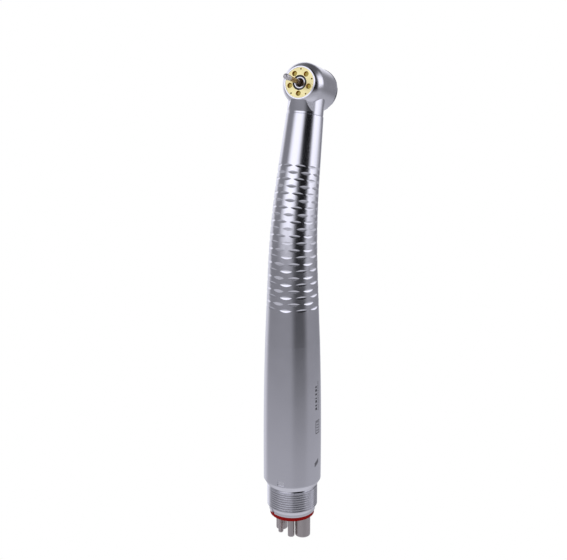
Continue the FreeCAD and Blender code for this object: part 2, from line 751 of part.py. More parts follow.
def chuck_collet():
    """Sprung collet inside the spindle, slit in three from its mouth."""
    reach = dim.collet_back + dim.spindle_front - dim.collet_recess
    bore = dim.shank_radius + 0.015
    sleeve = turned("collet_sleeve", [
        (bore, 0),
        (dim.collet_radius, 0),
        (dim.collet_radius, reach),
        (bore + 0.25, reach),
        (bore, reach - 0.3),
    ])
    slits = []
    for index in range(3):
        slit = box("collet_slit", 1.6, dim.slit_width, dim.slit_length + 0.5, 0.8, 0, reach - dim.slit_length)
        slits.append(turn(group("collet_slit_turned", [slit]), 30 + 120 * index))
    keep(on_head(cut("chuck_collet", sleeve, group("collet_slits", slits)), -dim.collet_back), "chuck_collet")


def bur():
    """Friction grip bur: plain shank, slim neck, round-ended tip."""
    reach = dim.bur_back + dim.bur_front
    nose = dim.bur_back + dim.spindle_front
    tool = turned("bur", [
        (0, 0),
        (dim.shank_radius - 0.1, 0),
        (dim.shank_radius, 0.1),
        (dim.shank_radius, nose - 0.4),
        (dim.bur_neck_radius, nose + 0.2),
        (dim.bur_neck_radius, reach - dim.bur_tip_length - dim.bur_flare),
        (dim.bur_tip_radius, reach - dim.bur_tip_length),
        (dim.bur_tip_radius, reach - dim.bur_tip_radius),
        (0, reach, dim.bur_tip_radius),
    ])
    keep(on_head(tool, -dim.bur_back), "bur")


def head_parts():
    head_housing()
    head_cap()
    push_button()
    button_spring()
    face_parts()
    ball_bearing("front_bearing", dim.front_bearing_height)
    ball_bearing("rear_bearing", -dim.rear_bearing_back)
    keep(on_head(washer("preload_washer", 2.8, 3.3, 0.15), -dim.web_front + 0.02), "preload_washer")
    turbine()
    chuck_collet()
    pin = cylinder("chuck_release_pin", dim.pin_radius, dim.pin_back - dim.pin_front)
    keep(on_head(pin, -dim.pin_back), "chuck_release_pin")
    bur()


# ---------------------------------------------------------------- handle

def bent_form(name, inset):
    """The handle's bent, tapering form from the seam to the head, inset from its outside."""
    lower = doc.addObject("Part::Cone", f"{name}_lower")
    bind(lower, "Radius1", dim.seam_radius - inset)
    bind(lower, "Radius2", dim.bend_start_radius - inset)
    bind(lower, "Height", dim.bend_start - dim.seam_height)
    shift(lower, 0, 0, dim.seam_height)
    stations = 6
    rings = []
    for index in range(stations + 1):
        part = index / stations
        ring = doc.addObject("Part::Circle", f"{name}_ring")
        bind(ring, "Radius", dim.bend_start_radius * (1 - part) + dim.bend_end_radius * part - inset)
        rings.append(on_bend(ring, part))
    bend = doc.addObject("Part::Loft", f"{name}_bend")
    bend.Sections = rings
    bend.Solid = True
    upper = doc.addObject("Part::Cone", f"{name}_upper")
    bind(upper, "Radius1", dim.bend_end_radius - inset)
    bind(upper, "Radius2", dim.neck_seam_radius - inset)
    bind(upper, "Height", dim.neck_run)
    on_neck(upper, 0)
    return fused(name, [lower, bend, upper])


def centre_line(run):
    """The handle's centre line at a run from the hose end: its point, and its lean towards +Y in degrees."""
    arc = dim.bend_radius.value * math.radians(dim.bend_angle.value)
    start = Vector(0, 0, dim.bend_start.value)
    if run <= start.z:
        return Vector(0, 0, run), 0.0
    lean = min((run - start.z) / arc, 1.0) * dim.bend_angle.value
    tilted = math.radians(lean)
    bend = Vector(0, dim.bend_radius.value * (1 - math.cos(tilted)), dim.bend_radius.value * math.sin(tilted))
    beyond = max(run - start.z - arc, 0.0)
    return start + bend + Vector(0, math.sin(tilted), math.cos(tilted)) * beyond, lean


def handle_radius_at(run):
    """The grip's outer radius, which tapers evenly along the centre line."""
    arc = dim.bend_radius.value * math.radians(dim.bend_angle.value)
    taper = (dim.bend_start_radius.value - dim.bend_end_radius.value) / arc
    return dim.bend_start_radius.value - taper * (run - dim.bend_start.value)


def grip_dimples():
    """Blades of the V cutter that makes the grip's dimples: staggered rows round the handle."""
    depth = dim.dimple_depth.value
    clear = 0.3
    half_height = dim.dimple_half_height.value * (depth + clear) / depth
    rows = 22
    around = 10
    blades = []
    for row in range(rows):
        run = dim.dimple_start.value + row * dim.dimple_step.value
        centre, lean = centre_line(run)
        radius = handle_radius_at(run)
        edge = Vector(-2.2, depth - radius, 0)
        upper = Vector(-2.2, -radius - clear, half_height)
        lower = Vector(-2.2, -radius - clear, -half_height)
        blade = Part.Face(Part.makePolygon([edge, upper, lower, edge])).extrude(Vector(4.4, 0, 0))
        stagger = dim.dimple_stagger.value * (1 if row % 2 == 0 else -1)
        for index in range(around):
            about = FreeCAD.Rotation(Vector(0, 0, 1), stagger + index * 360.0 / around)
            copy = blade.copy()
            copy.Placement = FreeCAD.Placement(centre, FreeCAD.Rotation(Vector(1, 0, 0), -lean).multiply(about))
            blades.append(copy)
    item = doc.addObject("Part::Feature", "grip_dimples")
    item.Shape = Part.makeCompound(blades)
    return item


def front_sleeve():
    """Tapered, bent grip sleeve with dimples and a spigot at its lower end."""
    spigot_base = dim.seam_height - dim.joint_spigot
    spigot_radius = dim.sleeve_bore - dim.seating_gap
    spigot = turned("grip_spigot", [
        (0, 0),
        (spigot_radius - 0.2, 0),
        (spigot_radius, 0.2),
        (spigot_radius, 2.2),
        (spigot_radius - 0.35, 2.2),
        (spigot_radius - 0.35, 2.65),
        (spigot_radius, 2.65),
        (spigot_radius, dim.joint_spigot),
        (0, dim.joint_spigot),
    ])
    shift(spigot, 0, 0, spigot_base)
    throat_radius = dim.seam_radius - dim.sleeve_wall
    throat = cylinder("grip_throat", throat_radius, dim.joint_spigot + 1, 0, 0, spigot_base)
    register = cylinder("grip_register", dim.register_bore, dim.spigot_length)
    on_neck(register, dim.neck_run - dim.spigot_length)
    outside = fused("grip_outside", [bent_form("grip_form", 0), spigot])
    inside = fused("grip_inside", [bent_form("grip_hollow", dim.sleeve_wall), throat, register])
    smooth = cut("grip_smooth", outside, inside)
    keep(cut("front_sleeve", smooth, grip_dimples()), "front_sleeve")


def rear_sleeve():
    """Straight rear sleeve with a long gentle side curve, a conical foot and an index recess."""
    foot = dim.sleeve_foot
    sleeve = turned("sleeve_turned", [
        (dim.foot_bore, 0),
        (dim.sleeve_foot_radius - 0.2, 0),
        (dim.sleeve_foot_radius, 0.2, 0.2),
        (dim.handle_radius - 0.05, dim.foot_cone),
        (dim.handle_radius, dim.foot_cone + 0.15),
        (dim.handle_radius, dim.swell_start - foot),
        (dim.seam_radius, dim.seam_height - foot - 0.05, dim.swell_radius),
        (dim.seam_radius - 0.05, dim.seam_height - foot),
        (dim.sleeve_bore, dim.seam_height - foot),
        (dim.sleeve_bore, dim.connector_top - foot),
        (dim.foot_bore, dim.connector_top - foot),
    ])
    recess_foot = dim.recess_height - dim.recess_length * 0.5 - foot
    recess = box("index_recess", dim.recess_width, 1, dim.recess_length,
                 dim.recess_side, dim.recess_depth - dim.handle_radius - 0.5, recess_foot)
    keep(shift(cut("rear_sleeve", sleeve, recess), 0, 0, foot), "rear_sleeve")


def sleeve_seals():
    """O-rings in the grooves of the neck spigot, the grip's spigot and the connector."""
    neck = torus("neck_o_ring", dim.spigot_radius - 0.245, 0.25)
    on_neck(neck, dim.neck_run - dim.spigot_length + 2.9)
    keep(neck, "neck_o_ring")
    seam = torus("seam_o_ring", dim.sleeve_bore - 0.185, 0.18)
    keep(shift(seam, 0, 0, dim.seam_height - dim.joint_spigot + 2.425), "seam_o_ring")
    tail = torus("tail_o_ring", dim.foot_bore - 0.35, 0.34)
    keep(shift(tail, 0, 0, dim.seal_groove), "tail_o_ring")


# ---------------------------------------------------------------- hose end

TUBES = [
    ("exhaust_nipple", 3.43, -0.38, dim.exhaust_radius, dim.exhaust_bore, 0.38),
    ("drive_air_nipple", -3.54, 0.69, dim.drive_radius, dim.drive_bore, 0.42),
    ("water_nipple", 0.87, -2.54, dim.water_radius, dim.water_bore, 0.3),
    ("chip_air_nipple", -2.74, -1.69, dim.chip_radius, dim.chip_bore, 0.25),
]
MANIFOLD_SCREWS = [(0.0, dim.screw_place), (0.0, -dim.screw_place)]


def tube_holes(prefix, height, z):
    return [cylinder(f"{prefix}_{name}", outer + dim.seating_gap, height, x, y, z)
            for name, x, y, outer, bore, rounding in TUBES]


def hose_nipples():
    """The four tubes that plug into the hose, each with a rounded free end."""
    length = dim.tube_reach + dim.tube_top
    for name, x, y, outer, bore, rounding in TUBES:
        tube = turned(name, [
            (bore, 0),
            (outer - rounding, 0),
            (outer, rounding, rounding),
            (outer, length),
            (bore, length),
        ])
        keep(shift(tube, x, y, -dim.tube_reach), name)


def hose_gasket():
    disc = cylinder("gasket_disc", dim.gasket_radius, dim.gasket_thickness)
    keep(cut("hose_gasket", disc, group("gasket_holes", tube_holes("gasket_hole", 2, -0.5))), "hose_gasket")


def tail_connector():
    """Hose coupling: plain collar, external thread, and a spigot inside the rear sleeve."""
    foot = dim.gasket_thickness
    outline = [
        (0, 0),
        (dim.collar_radius - 0.12, 0),
        (dim.collar_radius, 0.12),
        (dim.collar_radius, dim.collar_top - foot),
    ]
    for index in range(9):
        crest = dim.thread_start + dim.thread_pitch * index - foot
        outline.append((dim.thread_radius, crest))
        outline.append((dim.thread_radius, crest + dim.thread_crest))
        outline.append((dim.thread_root, crest + (dim.thread_pitch + dim.thread_crest) * 0.5))
    groove = dim.seal_groove - foot
    groove_floor = dim.connector_spigot - dim.seal_groove_depth
    outline += [
        (dim.connector_spigot, dim.sleeve_foot - foot),
        (dim.connector_spigot, groove - dim.seal_groove_half),
        (groove_floor, groove - dim.seal_groove_half),
        (groove_floor, groove + dim.seal_groove_half),
        (dim.connector_spigot, groove + dim.seal_groove_half),
        (dim.connector_spigot, dim.connector_top - foot),
        (0, dim.connector_top - foot),
    ]
    turned_body = turned("connector_turned", outline)
    tools = tube_holes("connector_hole", 20, -1)
    tapping = dim.screw_radius + dim.seating_gap
    for x, y in MANIFOLD_SCREWS:
        tools.append(cylinder("connector_tapping", tapping, 6, x, y, dim.connector_top - foot - 5))
    slot = box("spanner_slot", dim.slot_width, 1, dim.thread_start - foot - 0.2,
               0, dim.slot_depth - dim.collar_radius - 0.5, 0)
    tools.append(turn(group("spanner_slot_turned", [slot]), -dim.slot_angle))
    connector = cut("tail_connector", turned_body, group("connector_tools", tools))
    keep(shift(connector, 0, 0, foot), "tail_connector")


def manifold():
    """Plate that joins the four tubes to the lines and the generator, and its two screws."""
    thickness = dim.manifold_top - dim.connector_top
    seat = dim.tube_top - dim.connector_top
    screw_way = dim.screw_radius + dim.seating_gap
    plate = cylinder("manifold_disc", dim.manifold_radius, thickness)
    tools = [cylinder(f"manifold_{name}", outer + dim.seating_gap, seat, x, y, 0)
             for name, x, y, outer, bore, rounding in TUBES]
    tools.append(cylinder("manifold_exhaust_way", dim.exhaust_bore, thickness + 1, 3.43, -0.38, 0))
    tools.append(drill("manifold_drive_way", Vector(-3.2, 0.9, 1.5), Vector(-2.2, 1.5, 4.2), 0.7))
    tools.append(drill("manifold_water_way", Vector(0.87, -2.54, 1.5), Vector(1.2, -2.3, 3.2), 0.3))
    tools.append(drill("manifold_chip_way", Vector(-2.74, -1.69, 1.5), Vector(-1.2, -2.3, 3.2), 0.3))
    for side in (-1, 1):
        tools.append(cylinder("manifold_line_seat", dim.small_line_radius + dim.seating_gap, 2,
                              dim.small_line_side * side, -dim.small_line_offset, thickness - 1))
    for x, y in MANIFOLD_SCREWS:
        tools.append(cylinder("manifold_screw_way", screw_way, thickness + 1, x, y, -0.5))
        tools.append(cylinder("manifold_screw_head", dim.screw_head_radius + 0.05, 2, x, y, thickness - 1.1))
    item = cut("manifold_plate", plate, fused("manifold_tools", tools))
    keep(shift(item, 0, 0, dim.connector_top), "manifold_plate")
    screws = []
    for x, y in MANIFOLD_SCREWS:
        length = dim.screw_length + dim.screw_head_height
        screw = turned("manifold_screw", [
            (0, 0),
            (dim.screw_radius, 0),
            (dim.screw_radius, dim.screw_length),
            (dim.screw_head_radius, dim.screw_length),
            (dim.screw_head_radius, length),
            (0.5, length),
            (0.5, length - 0.5),
            (0, length - 0.5),
        ])
        screws.append(shift(screw, x, y, dim.manifold_top - length - 0.1))
    keep(group("manifold_screws", screws), "manifold_screws")


# ---------------------------------------------------------------- generator and lines

def on_generator(item, z):
    return shift(item, 0, dim.generator_offset, z)


def generator():
    """Air-driven generator that lights the lamps: housing, cap, coil, bushes and the spinning rotor."""
    floor = dim.manifold_top
    bore = dim.generator_radius - dim.generator_wall
    housing = turned("generator_can", [
        (dim.bush_radius, 0),
        (dim.generator_radius, 0),
        (dim.generator_radius, dim.generator_top - floor),
        (bore, dim.generator_top - floor),
        (bore, dim.generator_floor),
        (dim.bush_radius, dim.generator_floor),
    ])
    inlet = cylinder("generator_inlet", 0.7, 3, -2.2, -1.05, -1)
    keep(on_generator(cut("generator_housing", housing, inlet), floor), "generator_housing")
    cap = turned("generator_cap_turned", [
        (dim.bush_radius, 0),
        (bore - 0.03, 0),
        (bore - 0.03, 2),
        (dim.generator_radius, 2),
        (dim.generator_radius, 4),
        (dim.generator_radius - 0.5, 4.5),
        (0, 4.5),
        (0, 1.3),
        (dim.bush_radius, 1.3),
    ])
    socket_place = dim.drive_line_offset - dim.generator_offset
    socket = cylinder("generator_socket", dim.drive_line_radius + dim.seating_gap, 2, 0, socket_place, 3.3)
    tools = [socket]
    for side in (-1, 1):
        outlet = Vector(side * 2.3, 0, -0.2)
        tools.append(drill("generator_outlet", outlet, Vector(side * 0.4, socket_place.value, 3.6), 0.5))
    keep(on_generator(cut("generator_cap", cap, fused("generator_cap_tools", tools)), dim.generator_top - 2),
         "generator_cap")
    coil_radius = bore - 0.03
    stator = turned("generator_stator", [
        (dim.stator_bore, 0),
        (dim.stator_end_radius, 0),
        (dim.stator_end_radius, dim.stator_end),
        (coil_radius, dim.stator_end),
        (coil_radius, dim.stator_length - dim.stator_end),
        (dim.stator_end_radius, dim.stator_length - dim.stator_end),
        (dim.stator_end_radius, dim.stator_length),
        (dim.stator_bore, dim.stator_length),
    ])
    keep(on_generator(stator, dim.stator_foot), "generator_stator")
    bushes = []
    for z in (floor + 0.2, dim.generator_top - 2):
        bush = washer("generator_bush", dim.shaft_radius + dim.running_gap, dim.bush_radius, 1.0)
        bushes.append(on_generator(bush, z))
    keep(group("generator_bushes", bushes), "generator_bushes")
    shaft = cylinder("generator_shaft", dim.shaft_radius, dim.generator_top - floor - 1.1)
    keep(on_generator(shaft, floor + 0.25), "generator_shaft")
    magnet = washer("generator_magnet", dim.shaft_radius, dim.magnet_radius, dim.magnet_length)
    keep(on_generator(magnet, dim.magnet_foot), "generator_magnet")
    disc = washer("generator_wheel", dim.shaft_radius, dim.wheel_radius, dim.wheel_width)
    buckets = round_pattern("generator_buckets", 8, dim.wheel_pitch, 0,
                            lambda name: cylinder(name, dim.wheel_bucket, dim.wheel_width + 0.4, 0, 0, -0.2))
    keep(on_generator(cut("generator_impeller", disc, buckets), dim.wheel_foot), "generator_impeller")


def handle_line(name, across, offset, start, radius, bore=None):
    """A line that follows the handle's bend from a height up to the end of the neck's bore.

    offset is its place beside the centre line, positive towards the inside of the bend.
    """
    offset = as_size(offset)
    run = dim.head_run - dim.neck_bore_end - 0.1
    bent = dim.bend_radius - offset
    end_y = dim.bend_radius - bent * cosine(dim.bend_angle)
    end_z = dim.bend_start + bent * sine(dim.bend_angle)
    route = doc.addObject("Sketcher::SketchObject", f"{name}_route")
    draw_path(route, [
        (offset, start),
        (offset, dim.bend_start),
        (end_y, end_z, -bent),
        (end_y + run * sine(dim.bend_angle), end_z + run * cosine(dim.bend_angle)),
    ], closed=False)
    route.Placement.Rotation = FreeCAD.Rotation(Vector(1, 1, 1), 120)
    sweeps = []
    for place in (radius,) if bore is None else (radius, bore):
        ring = doc.addObject("Part::Circle", f"{name}_ring")
        bind(ring, "Radius", place)
        shift(ring, 0, offset, start)
        sweep = doc.addObject("Part::Sweep", f"{name}_sweep")
        sweep.Sections = [ring]
        sweep.Spine = (route, ["Edge1", "Edge2", "Edge3"])
        sweep.Solid = True
        sweeps.append(sweep)
    line = sweeps[0] if bore is None else cut(name, *sweeps)
    return shift(line, across, 0, 0)


def lines():
    """Drive air, water and chip air lines and the lamp wires, all running up through the neck."""
    drive = handle_line("drive_air_line", 0, dim.drive_line_offset, dim.generator_top + 1.35,
                        dim.drive_line_radius, dim.drive_line_radius - 0.3)
    keep(drive, "drive_air_line")
    for name, side in (("water_line", 1), ("chip_air_line", -1)):
        line = handle_line(name, dim.small_line_side * side, -dim.small_line_offset,
                           dim.manifold_top - 0.95, dim.small_line_radius, dim.small_line_radius - 0.17)
        keep(line, name)
    wires = []
    wires_start = dim.board_height + dim.rectifier_thickness
    for side in (-1, 1):
        wires.append(handle_line("led_wire", 0.3 * side, -2.4, wires_start, dim.wire_radius))
    keep(group("led_wires", wires), "led_wires")


def rectifier():
    """Round board with four diodes and a storage capacitor, pierced for the lines."""
    board = cylinder("rectifier_disc", dim.rectifier_radius, dim.rectifier_thickness)
    holes = [cylinder("rectifier_drive_hole", dim.drive_line_radius + 0.1, 2, 0, dim.drive_line_offset, -0.5)]
    for side in (-1, 1):
        holes.append(cylinder("rectifier_line_hole", dim.small_line_radius + 0.1, 2,
                              dim.small_line_side * side, -dim.small_line_offset, -0.5))
    item = cut("rectifier_board", board, group("rectifier_holes", holes))
    keep(shift(item, 0, 0, dim.board_height), "rectifier_board")
    top = dim.board_height + dim.rectifier_thickness
    items = [box("rectifier_diode", 1.8, 1.2, 0.9, x, y, top)
             for x, y in ((-3.8, -1.6), (-3.8, 1.6), (-1.8, 4.2), (1.8, 4.2))]
    items.append(cylinder("rectifier_capacitor", 1.3, 4, 3.7, 0.4, top))
    keep(group("rectifier_parts", items), "rectifier_parts")


def handle_parts():
    front_sleeve()
    rear_sleeve()
    sleeve_seals()
    hose_gasket()
    tail_connector()
    hose_nipples()
    manifold()
    generator()
    rectifier()
    lines()


# ---------------------------------------------------------------- document

def check_document():
    """Stops if anything in the document failed, or a sub-part has no sound shape."""
    for item in doc.Objects:
        broken = [state for state in item.State if state in ("Invalid", "Error")]
        if broken:
            raise RuntimeError(f"{item.Label}: {broken}")
    for item in nodes:
        if item.Shape.isNull() or not item.Shape.isValid():
            raise RuntimeError(f"{item.Label}: unsound shape")


def export_nodes():
    os.makedirs("parts", exist_ok=True)
    for item in nodes:
        item.Shape.exportStep(f"parts/{item.Label}.step")
        print(f"{item.Label}: {len(item.Shape.Solids)} solid(s), {item.Shape.Volume:.3f} mm3")


head_parts()
handle_parts()
doc.recompute()
check_document()
export_nodes()
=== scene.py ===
"""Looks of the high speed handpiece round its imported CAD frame: materials, finer meshes and studio."""

import math
from collections import namedtuple

import bpy
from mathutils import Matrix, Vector


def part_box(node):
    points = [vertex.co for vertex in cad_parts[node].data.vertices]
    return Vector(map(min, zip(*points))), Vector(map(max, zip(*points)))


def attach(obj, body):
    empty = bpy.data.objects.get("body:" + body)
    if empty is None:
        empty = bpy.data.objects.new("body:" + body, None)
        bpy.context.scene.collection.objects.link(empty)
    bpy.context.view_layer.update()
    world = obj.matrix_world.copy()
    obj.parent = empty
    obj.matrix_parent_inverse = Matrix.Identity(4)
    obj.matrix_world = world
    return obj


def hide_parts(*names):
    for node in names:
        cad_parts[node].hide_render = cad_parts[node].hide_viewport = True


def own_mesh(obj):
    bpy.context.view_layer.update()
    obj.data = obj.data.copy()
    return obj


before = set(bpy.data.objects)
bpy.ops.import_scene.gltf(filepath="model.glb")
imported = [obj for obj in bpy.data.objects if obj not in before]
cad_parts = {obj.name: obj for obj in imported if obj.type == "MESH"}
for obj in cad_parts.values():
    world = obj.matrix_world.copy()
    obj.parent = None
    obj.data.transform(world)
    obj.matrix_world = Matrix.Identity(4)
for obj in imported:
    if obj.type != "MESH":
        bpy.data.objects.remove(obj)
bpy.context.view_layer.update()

MM = 0.001

# The head's axis points out of its face, and rises a little from level.
HEAD_RISE = math.radians(14.34)
HEAD_AXIS = Vector((0, -math.cos(HEAD_RISE), math.sin(HEAD_RISE)))


def corners(node):
    """The vertices of a CAD node, in metres."""
    return [vertex.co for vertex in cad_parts[node].data.vertices]


# The frame's own materials name each node's slot, and then make way for the finishes below.
slot_names = {name: node.data.materials[0].name for name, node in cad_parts.items()}
for carried in list(bpy.data.materials):
    bpy.data.materials.remove(carried)


# ---------------------------------------------------------------- materials


class Nodes:
    """A material's node tree, with the short calls that the finishes below share."""

    def __init__(self, name):
        self.material = bpy.data.materials.new(name)
        self.material.use_nodes = True
        self.tree = self.material.node_tree
        self.shader = self.tree.nodes["Principled BSDF"]
        self.place = self.tree.nodes.new("ShaderNodeTexCoord").outputs["Object"]

    def add(self, kind, **inputs):
        """A shader node of that kind with its sockets fed; an underscore stands for a space."""
        node = self.tree.nodes.new("ShaderNode" + kind)
        for name, value in inputs.items():
            self.feed(node.inputs[name.replace("_", " ")], value)
        return node

    def feed(self, socket, value):
        if isinstance(value, bpy.types.NodeSocket):
            self.tree.links.new(value, socket)
        else:
            socket.default_value = value

    def stretched(self, x, y, z):
        """The object's own coordinates, multiplied along each axis."""
        node = self.add("Mapping", Vector=self.place)
        node.inputs["Scale"].default_value = (x, y, z)
        return node.outputs["Vector"]

    def noise(self, size, place=None):
        """Cloudy noise from 0 to 1 whose blobs are about size metres across."""
        node = self.add("TexNoise", Vector=place or self.place, Scale=1 / size, Detail=3.0)
        return node.outputs["Fac"]

    def ramp(self, value, start, end, low=0.0, high=1.0):
        """Runs evenly from low to high as the value goes from start to end."""
        node = self.add("MapRange", Value=value, From_Min=start, From_Max=end, To_Min=low, To_Max=high)
        return node.outputs["Result"]

    def spread(self, source, low, high):
        """The middle of a 0 to 1 noise, where most of it lies, spread out from low to high."""
        return self.ramp(source, 0.3, 0.7, low, high)

    def along_head(self, vector):
        """How far a vector reaches along the head's axis."""
        node = self.tree.nodes.new("ShaderNodeVectorMath")
        node.operation = "DOT_PRODUCT"
        self.feed(node.inputs[0], vector)
        node.inputs[1].default_value = HEAD_AXIS
        return node.outputs["Value"]

    def blend(self, factor, first, second):
        """The first colour where the factor is 0, and the second where it is 1."""
        node = self.tree.nodes.new("ShaderNodeMix")
        node.data_type = "RGBA"
        self.feed(node.inputs["Factor"], factor)
        self.feed(node.inputs["A"], first)
        self.feed(node.inputs["B"], second)
        return node.outputs["Result"]

    def bump(self, height, depth):
        """A bump normal from a 0 to 1 height, depth metres deep."""
        return self.add("Bump", Height=height, Strength=1.0, Distance=depth).outputs["Normal"]

    def metal_body(self, tint, roughness, grain, smudge, stretch=(1, 1, 1)):
        """Sets the shader up as metal with cloudy marks and a fine grain, and returns its tint."""
        grain_size, grain_depth = grain
        smoother, rougher, darker = 0.88, 1.12, 0.93
        clouds = self.noise(smudge)
        fine = self.noise(grain_size, place=self.stretched(*stretch))
        shade = self.blend(clouds, colour(*tint, darker), colour(*tint))
        gloss = self.spread(clouds, roughness * smoother, roughness * rougher)
        self.feed(self.shader.inputs["Base Color"], shade)
        self.shader.inputs["Metallic"].default_value = 1.0
        self.feed(self.shader.inputs["Roughness"], gloss)
        self.feed(self.shader.inputs["Normal"], self.bump(fine, grain_depth))
        return shade


def colour(red, green, blue, share=1.0):
    """An opaque shader colour, darkened to a share of itself."""
    return (red * share, green * share, blue * share, 1.0)


def metal(name, tint, roughness, grain, smudge=6 * MM, stretch=(1, 1, 1)):
    """Metal with cloudy handling marks and a fine grain of (size, depth)."""
    nodes = Nodes(name)
    nodes.metal_body(tint, roughness, grain, smudge, stretch)
    return nodes.material


def pierced_plate(name):
    """Yellow plated metal whose pierced walls are bare and brown."""
    nodes = Nodes(name)
    yellow, brown = (1.0, 0.90, 0.46), (1.0, 0.52, 0.08)
    face_on, side_on = 0.9, 0.5
    shade = nodes.metal_body(yellow, 0.40, grain=(0.1 * MM, 0.001 * MM), smudge=2 * MM)
    facing = nodes.along_head(nodes.add("NewGeometry").outputs["True Normal"])
    wall = nodes.ramp(facing, face_on, side_on)
    nodes.feed(nodes.shader.inputs["Base Color"], nodes.blend(wall, shade, colour(*brown)))
    return nodes.material


def gritted(name):
    """A ground steel bur whose working tip carries pale grit."""
    nodes = Nodes(name)
    steel, dark_grit, pale_grit = (0.60, 0.45, 0.32), (0.62, 0.60, 0.60), (0.92, 0.90, 0.89)
    ground, rough = 0.26, 0.5
    grit_size, grit_start, grit_full = 0.09 * MM, 3.2 * MM, 2.6 * MM
    shade = nodes.metal_body(steel, ground, grain=(0.15 * MM, 0.0008 * MM), smudge=0.8 * MM)
    end = max(corner.dot(HEAD_AXIS) for corner in corners("bur"))
    tip = nodes.ramp(nodes.along_head(nodes.place), end - grit_start, end - grit_full)
    grit = nodes.blend(nodes.noise(grit_size), colour(*dark_grit), colour(*pale_grit))
    nodes.feed(nodes.shader.inputs["Base Color"], nodes.blend(tip, shade, grit))
    nodes.feed(nodes.shader.inputs["Roughness"], nodes.spread(tip, ground, rough))
    return nodes.material


def soft(name, tint, roughness, grain, depth, shine=0.5):
    """Rubber, plastic or resin: a plain body with a mottled tint and a fine grain."""
    nodes = Nodes(name)
    darker, unevenness, mottle = 0.8, 0.08, 2 * MM
    nodes.shader.inputs["Specular IOR Level"].default_value = shine
    clouds = nodes.noise(mottle)
    fine = nodes.noise(grain)
    shade = nodes.blend(clouds, colour(*tint, darker), colour(*tint))
    nodes.feed(nodes.shader.inputs["Base Color"], shade)
    gloss = nodes.spread(fine, roughness - unevenness, roughness + unevenness)
    nodes.feed(nodes.shader.inputs["Roughness"], gloss)
    nodes.feed(nodes.shader.inputs["Normal"], nodes.bump(fine, depth))
    return nodes.material


def winding(name):
    """Copper wire laid in turns round the generator's poles, with painted shade darkening the grooves
    between turns.
    """
    nodes = Nodes(name)
    # The groove colour is painted shade, darker copper down between the turns; the crown colour is the
    # wire's own copper.
    groove, crown = (0.45, 0.16, 0.07), (0.85, 0.42, 0.22)
    wire = nodes.add("TexWave", Vector=nodes.place, Scale=2 / MM, Distortion=0.6)
    wire.bands_direction = "Z"
    rise = wire.outputs["Fac"]
    nodes.feed(nodes.shader.inputs["Base Color"], nodes.blend(rise, colour(*groove), colour(*crown)))
    nodes.shader.inputs["Metallic"].default_value = 1.0
    nodes.feed(nodes.shader.inputs["Roughness"], nodes.spread(nodes.noise(MM), 0.25, 0.4))
    nodes.feed(nodes.shader.inputs["Normal"], nodes.bump(rise, 0.03 * MM))
    return nodes.material


# The first twenty finishes carry the names of the record's slots.
FINISHES = {
    "satin_chrome": metal("satin_chrome", (0.80, 0.80, 0.835), 0.20, grain=(0.10 * MM, 0.0010 * MM)),
    "polished_chrome": metal("polished_chrome", (0.80, 0.80, 0.83), 0.15,
                             grain=(0.2 * MM, 0.0004 * MM), smudge=3 * MM),
    "stainless_tube": metal("stainless_tube", (0.60, 0.55, 0.53), 0.30,
                            grain=(0.15 * MM, 0.0008 * MM), smudge=2 * MM, stretch=(1, 1, 0.1)),
    "spring_steel": metal("spring_steel", (0.55, 0.55, 0.58), 0.3,
                          grain=(0.1 * MM, 0.002 * MM), smudge=MM),
    "cover_plate": pierced_plate("cover_plate"),
    "circuit_board": soft("circuit_board", (0.62, 0.38, 0.05), 0.5, 0.2 * MM, 0.004 * MM),
    "light_phosphor": soft("light_phosphor", (0.95, 0.80, 0.12), 0.35, 0.08 * MM, 0.003 * MM),
    "black_plastic": soft("black_plastic", (0.015, 0.015, 0.018), 0.35, 0.1 * MM, 0.002 * MM),
    "bearing_steel": metal("bearing_steel", (0.66, 0.66, 0.68), 0.14,
                           grain=(0.08 * MM, 0.0006 * MM), smudge=MM),
    "ceramic_ball": soft("ceramic_ball", (0.06, 0.06, 0.065), 0.15, 0.2 * MM, 0.0003 * MM),
    "cage_resin": soft("cage_resin", (0.32, 0.16, 0.06), 0.5, 0.1 * MM, 0.003 * MM),
    "black_rubber": soft("black_rubber", (0.012, 0.012, 0.014), 0.45, 0.12 * MM, 0.003 * MM),
    "light_alloy": metal("light_alloy", (0.76, 0.76, 0.78), 0.32,
                         grain=(0.1 * MM, 0.002 * MM), smudge=MM),
    "bur_steel": gritted("bur_steel"),
    "gasket_rubber": soft("gasket_rubber", (0.46, 0.004, 0.002), 0.6, 0.15 * MM, 0.004 * MM, shine=0.15),
    "brass": metal("brass", (0.80, 0.58, 0.28), 0.25, grain=(0.1 * MM, 0.001 * MM), smudge=MM),
    "generator_case": metal("generator_case", (0.50, 0.50, 0.52), 0.38,
                            grain=(0.1 * MM, 0.002 * MM), smudge=2 * MM),
    "copper_winding": winding("copper_winding"),
    "magnet": metal("magnet", (0.42, 0.42, 0.44), 0.3, grain=(0.08 * MM, 0.001 * MM), smudge=MM),
    "wire_insulation": soft("wire_insulation", (0.55, 0.02, 0.02), 0.4, 0.1 * MM, 0.002 * MM),
    "laser_mark": soft("laser_mark", (0.03, 0.03, 0.035), 0.55, 0.1 * MM, 0.001 * MM),
    "bright_steel": metal("bright_steel", (0.90, 0.90, 0.93), 0.3, grain=(0.1 * MM, 0.001 * MM)),
    "chuck_steel": metal("chuck_steel", (0.16, 0.14, 0.13), 0.4,
                         grain=(0.1 * MM, 0.001 * MM), smudge=MM),
}

for node, slot_name in slot_names.items():
    finish = "chuck_steel" if node == "chuck_collet" else slot_name
    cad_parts[node].data.materials.clear()
    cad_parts[node].data.materials.append(FINISHES[finish])


# ---------------------------------------------------------------- detailed pieces


def heights(node):
    """Lowest and highest level of a CAD node, in millimetres."""
    return [corner.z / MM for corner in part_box(node)]


